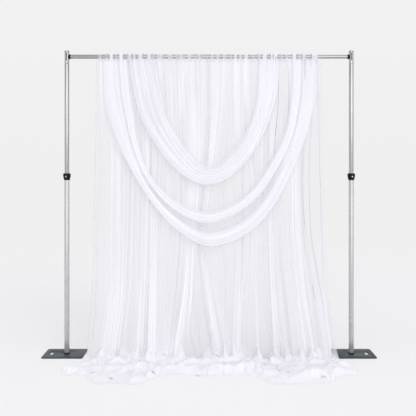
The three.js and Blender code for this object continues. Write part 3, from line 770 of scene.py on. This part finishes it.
class Curtain:
    """One curtain, row by row from behind the bar, over it and down to the hem on the floor."""

    def __init__(self, index):
        self.name, self.index, self.seed = CURTAINS[index], index, 20 * index
        self.ahead = index % 2     # every second one hangs before its neighbours and lies on them
        self.u = u = np.linspace(0, 1, PLEATS * 26 + 1)
        self.foot = np.maximum(0.085 + 0.065 * self.ripple(14, u * 4), 0.02)
        turn = 2 * math.pi * (PLEATS * u + 0.45 * self.ripple(1, u * 5)
                              + 0.25 * self.ripple(2, u * 14))
        broad_turn = 2 * math.pi * (BROAD_FOLDS * u + 0.3 * self.ripple(3, u * 3))
        self.size = np.clip(0.85 + 0.35 * self.ripple(4, u * 9), 0.4, 1.3)
        self.side, self.depth, self.broad = np.sin(turn), np.cos(turn), np.sin(broad_turn)
        self.rows = []

    def ripple(self, number, across, down=0.0):
        return ripple(self.seed + number, across, down)

    def level(self, height):
        return np.full(self.u.shape, height)

    def add_row(self, x, y, z):
        self.rows.append(np.stack(np.broadcast_arrays(x, y, z), -1))

    def across(self, height):
        """x of each thread at a height, and how many layers of cloth are gathered there."""
        low_edge, high_edge = CURTAIN_EDGES[self.index]
        left = to_metres(smooth_line(BUNCH_HEIGHTS, low_edge, height))
        right = to_metres(smooth_line(BUNCH_HEIGHTS, high_edge, height))
        x = left + (right - left) * np.linspace(0, 1, 700)
        # the bunches ease off towards the bar and a little at the floor, and are wider at both
        calm = (1 - 0.66 * blend_up(height, 1.8, 2.8)) * (0.85 + 0.15 * blend_up(height, 0.0, 0.5))
        wide = PIXEL * (1 + 0.5 * blend_up(height, 2.3, 2.95)
                        + 0.15 * (1 - blend_up(height, 0.0, 0.7)))
        density = np.full(x.shape, 1.0)
        for path, half, strength in BUNCHES[self.name]:
            centre = to_metres(smooth_line(BUNCH_HEIGHTS, path, height))
            density += calm * strength * np.exp(-0.35 * ((x - centre) / (0.98 * half * wide)) ** 4)
        pace = 1.0
        for number, waves, share in ((6, 5.0, 0.30), (7, 12.0, 0.22)):
            pace = pace + share * self.ripple(number, self.u * waves, self.level(height * 0.35))
        thread = gathered_shares(np.maximum(pace, 0.25))
        x = np.interp(thread, gathered_shares(density), x)
        return x, CURTAIN_FLAT[0] / np.maximum(np.gradient(x, self.u), 0.05)

    def pleat(self, layers):
        """How far each pleat reaches to its sides and forward, for the cloth gathered there."""
        pitch = CURTAIN_FLAT[0] / layers / PLEATS
        loose = self.size * (1 - 0.85 * blend_up(layers, 1.5, 2.8))
        return 0.08 * pitch * loose, fold_depth(pitch, 0.8 * layers, 0.13) * loose

    def round_bar(self):
        """Up behind the bar and over it, as a ruffled loop."""
        top_x, layers = self.across(2.96)
        half, deep = self.pleat(layers)
        swell = 0.35 * deep * (1 + self.depth)
        top_x = top_x + 0.7 * half * self.side
        for t in np.linspace(0, 1, 6)[:-1]:
            self.add_row(top_x, STAND_DEPTH + ROUND_BAR + swell, BAR_HEIGHT - 0.05 * (1 - t))
        for t in np.linspace(0, 1, 13)[:-1]:
            over = math.sin(math.pi * t)
            reach = ROUND_BAR + swell * (1 - 0.4 * over)
            ruffle = 0.002 * over * (1 + self.ripple(9, self.u * 30))
            self.add_row(top_x, STAND_DEPTH + reach * math.cos(math.pi * t),
                         BAR_HEIGHT + reach * over + ruffle)

    def hang(self):
        """Down from the bar in pleats, in broad folds and in bunches."""
        for t in np.linspace(0, 1, ROWS_HANGING) ** 0.92:
            height = BAR_HEIGHT - (BAR_HEIGHT - LYING_LEVEL) * t
            drop = 1 - height / BAR_HEIGHT
            settle = blend_up(drop, 0.0, 0.15)
            x, layers = self.across(height)
            half, deep = self.pleat(layers)
            deep = deep * (0.35 + 0.65 * blend_up(drop, 0.0, 0.03))
            pitch = CURTAIN_FLAT[0] / layers / BROAD_FOLDS
            large = np.clip(0.11 * pitch, 0, 0.022) * self.size * blend_up(drop, 0.02, 0.45)
            large = large * (1 - 0.8 * blend_up(layers, 1.5, 2.6))
            bulk = 0.006 * np.clip(layers - 1.5, 0, 2.6)
            bulk = np.convolve(np.pad(bulk, 9, mode="edge"), np.full(19, 1 / 19), "valid") * settle
            drift = 0.012 * self.ripple(10, self.u * 2, self.level(height * 0.8)) * settle
            forward = 0.022 * blend_up(drop, 0.0, 0.12) + 0.15 * blend_up(drop, 0.62, 1.0) ** 1.7
            y = (STAND_DEPTH - ROUND_BAR - forward - 0.008 * self.ahead - deep * (1 + self.depth)
                 - large * (0.9 + self.broad) - bulk + drift)
            self.add_row(x + half * self.side, np.minimum(y, STAND_DEPTH - ROUND_BAR),
                         BAR_HEIGHT - (BAR_HEIGHT - self.foot) * t)

    def lie(self):
        """Out over the floor in crumples, to a hem that lies flat on it."""
        start_x, start_y = self.rows[-1][:, 0], self.rows[-1][:, 1]
        left, right = POOL_EDGES[self.index]
        spread = left + (right - left) * self.u
        front = smooth_line(FRONT_X, FRONT_Y, spread)
        for seed, reach, waves in FRONT_WAVES:
            front = front + reach * ripple(seed, spread * waves)
        front = np.maximum(front, POOL_FRONT)
        for run in np.linspace(0, 1, ROWS_LYING)[1:]:
            fan = blend_up(run, 0.0, 0.75)
            x = start_x * (1 - fan) + spread * fan
            x = x + 0.020 * fan * self.ripple(12, x * 4, start_y + run) * (1 - run)
            y = start_y + (front - start_y) * run ** 0.9
            land = self.foot * (1 - blend_up(run, 0.0, 0.30)) ** 2
            rise = crumples(x, y) * (0.25 + 0.75 * blend_up(run, 0.0, 0.25))
            rise = (rise + 0.010 + 0.006 * self.depth * (1 - run)
                    + 0.008 * self.ripple(13, x * 6, y * 6))
            edge = 1 - blend_up(run, 0.74, 1.0) * (0.97 + 0.03 * ripple(33, spread * 7))
            z = land + rise * edge * blend_up(run, 0.0, 0.12)
            above = 0.004 * self.ahead * blend_up(run, 0.0, 0.2)
            # only the hem itself lies flat on the floor
            flat = 1 - 0.96 * blend_up(run, 0.90, 1.0)
            self.add_row(x, y, (np.maximum(z, 0.003) + above) * flat)

    def cover(self, points, hung):
        """What each spot stops of the light, with hung rows above those that lie."""
        selvage = np.clip(np.minimum(self.u, 1 - self.u) / 0.05, 0, 1)
        # towards the floor the folds close up and stop more of the light; the higher cap there also
        # brightens the foot of each curtain with the painted lighter colour of the densest cloth
        height = blend_up(points[..., 2], 0.1, 0.9)
        cover = cover_of(points, CURTAIN_FLAT[0], 0.60 - 0.14 * height, loosest=0.6,
                         most=0.94 - 0.04 * height, blur=36) * (0.25 + 0.75 * selvage)
        # painted light: cloth that lies is made near opaque, which paints it in the whiter lit
        # colour of heaped cloth
        piled = blend_up(np.linspace(0, 1, len(points) - hung), 0.0, 0.3)[:, None]
        x, y = points[hung:, :, 0], points[hung:, :, 1]
        # painted shade in part: at these spots the cloth is thinned, showing the floor shadowed
        # under it and taking the darker painted colour of thin cloth
        thinned_spot = sum(np.exp(-((x - at_x + 0.4 * (y - at_y)) / 0.021) ** 2
                            - ((y - at_y) / 0.018) ** 2) for at_x, at_y in THINNED_SPOTS)
        cover[hung:] = ((cover[hung - 1] * (1 - piled) + 0.98 * piled)
                        * (1 - 0.5 * np.minimum(thinned_spot, 1)))
        return cover

    def make(self):
        self.round_bar()
        self.hang()
        hung = len(self.rows)
        self.lie()
        points = np.stack(self.rows)
        made = cloth_object(self.name + "_cloth", points, CURTAIN_FLAT, self.cover(points, hung))
        hang_on_bar(made, CURTAIN_FLAT, "gathered", self.name,
                    self.name.replace("curtain_", "curtain_hem_"))


# Swags

SWAG_ROWS = 181
# edges of the swags, in pixels from their left end on the bar to their right end
SHORT_OUTER = [(127, 57), (130, 78), (134.5, 98), (143, 124), (155.5, 145), (167.5, 161.5),
               (180, 174), (194, 183), (208, 186), (222, 182.5), (235, 174), (248, 160.5),
               (261, 139.5), (269.5, 120), (276.5, 95), (279, 75), (280.5, 57)]
SHORT_INNER = [(156, 57), (158.5, 75), (162, 92), (167, 115), (176, 132), (185, 146), (193, 157),
               (201, 165), (209, 168), (218, 164.5), (226, 157), (234, 147), (243, 136.5),
               (250, 123), (255.5, 106), (258, 82), (258.5, 57)]
LONG_INNER = [(128, 57), (131, 80), (135, 110), (140, 145), (146, 166), (155, 181), (166, 193),
              (182, 204), (207, 211), (228, 204), (245, 193.5), (257, 181), (268, 165),
              (277, 150), (285, 130), (289.5, 100), (291, 57)]
LONG_OUTER = [(103, 57), (103.8, 80), (105.5, 103), (111.5, 124), (120, 147), (132, 170),
              (150, 200), (176, 230), (208, 247), (238, 239), (262, 221), (278.5, 198),
              (289.5, 175), (299, 154), (307, 130), (315.5, 98), (318.5, 57)]


def edge_line(pixels, at):
    """Points on the edge of a swag, at shares of its length."""
    pixels = np.asarray(pixels, float)
    steps = np.concatenate([[0], np.cumsum(np.linalg.norm(np.diff(pixels, axis=0), axis=1))])
    fine = np.linspace(0, steps[-1], 400)
    x = smooth_line(steps, pixels[:, 0], fine)
    z = smooth_line(steps, pixels[:, 1], fine)
    for _ in range(40):
        even_out(x, 0)
        even_out(z, 0)
    x, z = to_metres(x), BAR_HEIGHT - (z - BAR_PIXEL) * PIXEL
    share = fine / fine[-1]
    return np.interp(at, share, x), np.interp(at, share, z)


def over_bar(edge_x, reach):
    """Rows that take the end of a swag over the bar and a little way down behind it."""
    strip = [np.stack([edge_x, STAND_DEPTH - reach * math.cos(math.pi * t),
                       BAR_HEIGHT + reach * math.sin(math.pi * t)], -1)
             for t in np.linspace(0, 1, 14)[1:]]
    strip += [np.stack([edge_x, STAND_DEPTH + reach, np.full(edge_x.shape, BAR_HEIGHT - 0.06 * t)],
                       -1)
              for t in np.linspace(0, 1, 5)[1:]]
    return np.stack(strip)


def swag(name, flat, outer, inner, strands, between, folds, depth, seed):
    """A sheet thrown over the bar at two places, rolled so that its folds run along it.
    strands are (centre, half width, strength) as shares of its width, with between among them."""
    s = np.linspace(0, 1, SWAG_ROWS)
    w = np.linspace(0, 1, folds * 24 + 1)
    (low_x, low_z), (high_x, high_z) = edge_line(outer, s), edge_line(inner, s)
    sample = np.linspace(0, 1, 500)
    strand = np.full(sample.shape, between)
    for centre, half, strength in strands:
        strand += strength * np.exp(-0.35 * ((sample - centre) / half) ** 4)
    uneven = 1 + 0.30 * ripple(seed, sample * 5) + 0.15 * ripple(seed + 1, sample * 13)
    uneven = np.maximum(uneven, 0.3)
    turn = 2 * math.pi * (folds * w + 0.4 * ripple(seed + 2, w * 4))
    rows = []
    for i, share in enumerate(s):
        level = np.full(w.shape, share)
        sag = math.sin(math.pi * share)
        parted = 0.20 + 0.80 * blend_up(sag, 0.55, 0.95)
        gathers = (strand * parted + strand.mean() * (1 - parted)) * uneven
        place = np.interp(w, gathered_shares(gathers), sample)
        thick = np.sqrt(np.interp(place, sample, gathers) / gathers.max())
        round_edge = np.clip(np.minimum(place, 1 - place) / 0.10, 0, 1) ** 0.5
        width = math.hypot(high_x[i] - low_x[i], high_z[i] - low_z[i])
        pitch = np.abs(np.gradient(place, w)) * width / folds
        deep = fold_depth(pitch, 0.95 * flat[0] / folds / pitch, 0.10)
        deep = deep * (0.9 + 0.25 * ripple(seed + 3, w * 6, level * 3))
        angle = turn + 0.8 * ripple(seed + 4, w * 2, level * 2)
        c = place + 0.025 * sag * ripple(seed + 6, place * 4, level * 3)
        bulge = (depth * (0.35 + 0.65 * sag) * thick
                 * (1 + 0.25 * ripple(seed + 5, place * 6, level * 2)))
        y = (-0.020 - 0.095 * blend_up(sag, 0.0, 0.6) - bulge * round_edge
             - deep * (1 + np.cos(angle)))
        rows.append(np.stack([
            low_x[i] + (high_x[i] - low_x[i]) * c,
            STAND_DEPTH - BAR_RADIUS + np.minimum(y, -0.006),
            low_z[i] + (high_z[i] - low_z[i]) * c], -1))
    points = np.stack(rows)
    reach = BAR_RADIUS + 0.009 + 0.003 * (1 + np.cos(turn))
    start, end = over_bar(points[0, :, 0], reach), over_bar(points[-1, :, 0], reach)
    # both ends ease into the loops over the bar
    eased = (blend_up(s, 0.0, 0.03) * (1 - blend_up(s, 0.97, 1.0)))[:, None]
    points[..., 1] = (STAND_DEPTH - reach) * (1 - eased) + points[..., 1] * eased
    points[..., 2] = np.minimum(points[..., 2], BAR_HEIGHT)
    points = np.concatenate([start[::-1], points, end])
    # its long edges let more light through, as far in as at its last row
    cover = cover_of(points, flat[0], 0.72, loosest=0.25, most=0.96, blur=6)
    made = cloth_object(name + "_cloth", points, flat, cover * (0.55 + 0.45 * round_edge))
    hang_on_bar(made, flat, "draped", name)


for curtain_index in range(len(CURTAINS)):
    Curtain(curtain_index).make()
swag("swag_short", (0.30, 3.9), SHORT_OUTER, SHORT_INNER,
     strands=[(0.24, 0.22, 1.3), (0.75, 0.18, 0.9)], between=0.30, folds=7, depth=0.016, seed=50)
swag("swag_long", (0.37, 5.1), LONG_OUTER, LONG_INNER,
     strands=[(0.19, 0.165, 1.6), (0.82, 0.16, 1.5)], between=0.13, folds=9, depth=0.020, seed=60)


# Floor, light and camera

def floor_surface(nodes):
    """Plain floor with a little painted shade behind the drape, that fades out far away."""
    place = nodes.object_place()
    back = nodes.add("ShaderNodeSeparateXYZ", output=1, Vector=place)
    far = nodes.add("ShaderNodeVectorMath", {"operation": "LENGTH"}, output=1, Vector=place)
    # painted shade: the floor is a shade darker from just behind the drape back
    near_shade = nodes.mix(nodes.steps(back, 0.1, 1.3), (0.850, 0.850, 0.855, 1),
                           (0.836, 0.836, 0.838, 1))
    return {
        "Base Color": nodes.mix(nodes.steps(back, 1.4, 4.4), near_shade, (0.838, 0.838, 0.840, 1)),
        "Roughness": 0.95,
        "Specular IOR Level": 0.05,
        "Alpha": 1 - nodes.steps(far, 5.5, 14.0),
    }


bpy.ops.object.select_all(action="DESELECT")
bpy.ops.mesh.primitive_circle_add(vertices=96, radius=15, fill_type="NGON", location=(0, 0, -0.001))
floor = bpy.context.object
floor.name = "studio_floor"
floor.data.transform(floor.matrix_world)
floor.matrix_world.identity()
floor.location = (0, 0, 0)
floor.data.materials.append(finish_named("floor_surface", floor_surface))

world = bpy.data.worlds.new("studio_world")
bpy.context.scene.world = world
world.use_nodes = True
sky = Nodes(world.node_tree)
direction = sky.add("ShaderNodeTexCoord")
rise = sky.add("ShaderNodeSeparateXYZ", output=2, Vector=direction)
rays = world.node_tree.nodes.new("ShaderNodeLightPath").outputs
seen = sky.clamp(Value(sky, rays["Is Camera Ray"]) + Value(sky, rays["Is Glossy Ray"])
                 + Value(sky, rays["Is Transmission Ray"]))
# what shows behind the stand, which is darker far above, and the even light that falls on it
low = sky.mix(sky.steps(rise, -0.05, 0.25), (0.865, 0.865, 0.867, 1), (0.885, 0.885, 0.892, 1))
shade = sky.mix(sky.steps(rise, 0.30, 0.60), low, (0.36, 0.36, 0.37, 1))
background = sky.of_type("BACKGROUND").inputs
sky.feed(background["Color"], sky.mix(seen, (0.98, 0.98, 1.0, 1), shade))
sky.feed(background["Strength"], 1.0 * seen + 0.71 * (1 - seen))


def broad_light(name, rise, turn, strength, softness):
    """A sun lamp, with its height above the horizon, turn and width in degrees."""
    lamp = bpy.data.lights.new(name, "SUN")
    lamp.energy = strength
    lamp.angle = math.radians(softness)
    made = bpy.data.objects.new(name, lamp)
    bpy.context.scene.collection.objects.link(made)
    made.rotation_euler = (math.radians(90 - rise), 0, math.radians(turn))


broad_light("front_softbox", rise=23, turn=14, strength=1.28, softness=62)
broad_light("top_softbox", rise=80, turn=0, strength=0.62, softness=70)

# level, 1.9 m above the floor, with the photograph's crop
camera_data = bpy.data.cameras.new("photo_camera")
camera = bpy.data.objects.new("photo_camera", camera_data)
bpy.context.scene.collection.objects.link(camera)
camera.location = (-0.011, -6.969, 1.9)
camera.rotation_euler = (math.pi / 2, 0, 0)
camera_data.lens = 63.66
camera_data.sensor_width = 36
camera_data.shift_y = -0.103
bpy.context.scene.camera = camera
bpy.context.scene.view_settings.view_transform = "Standard"
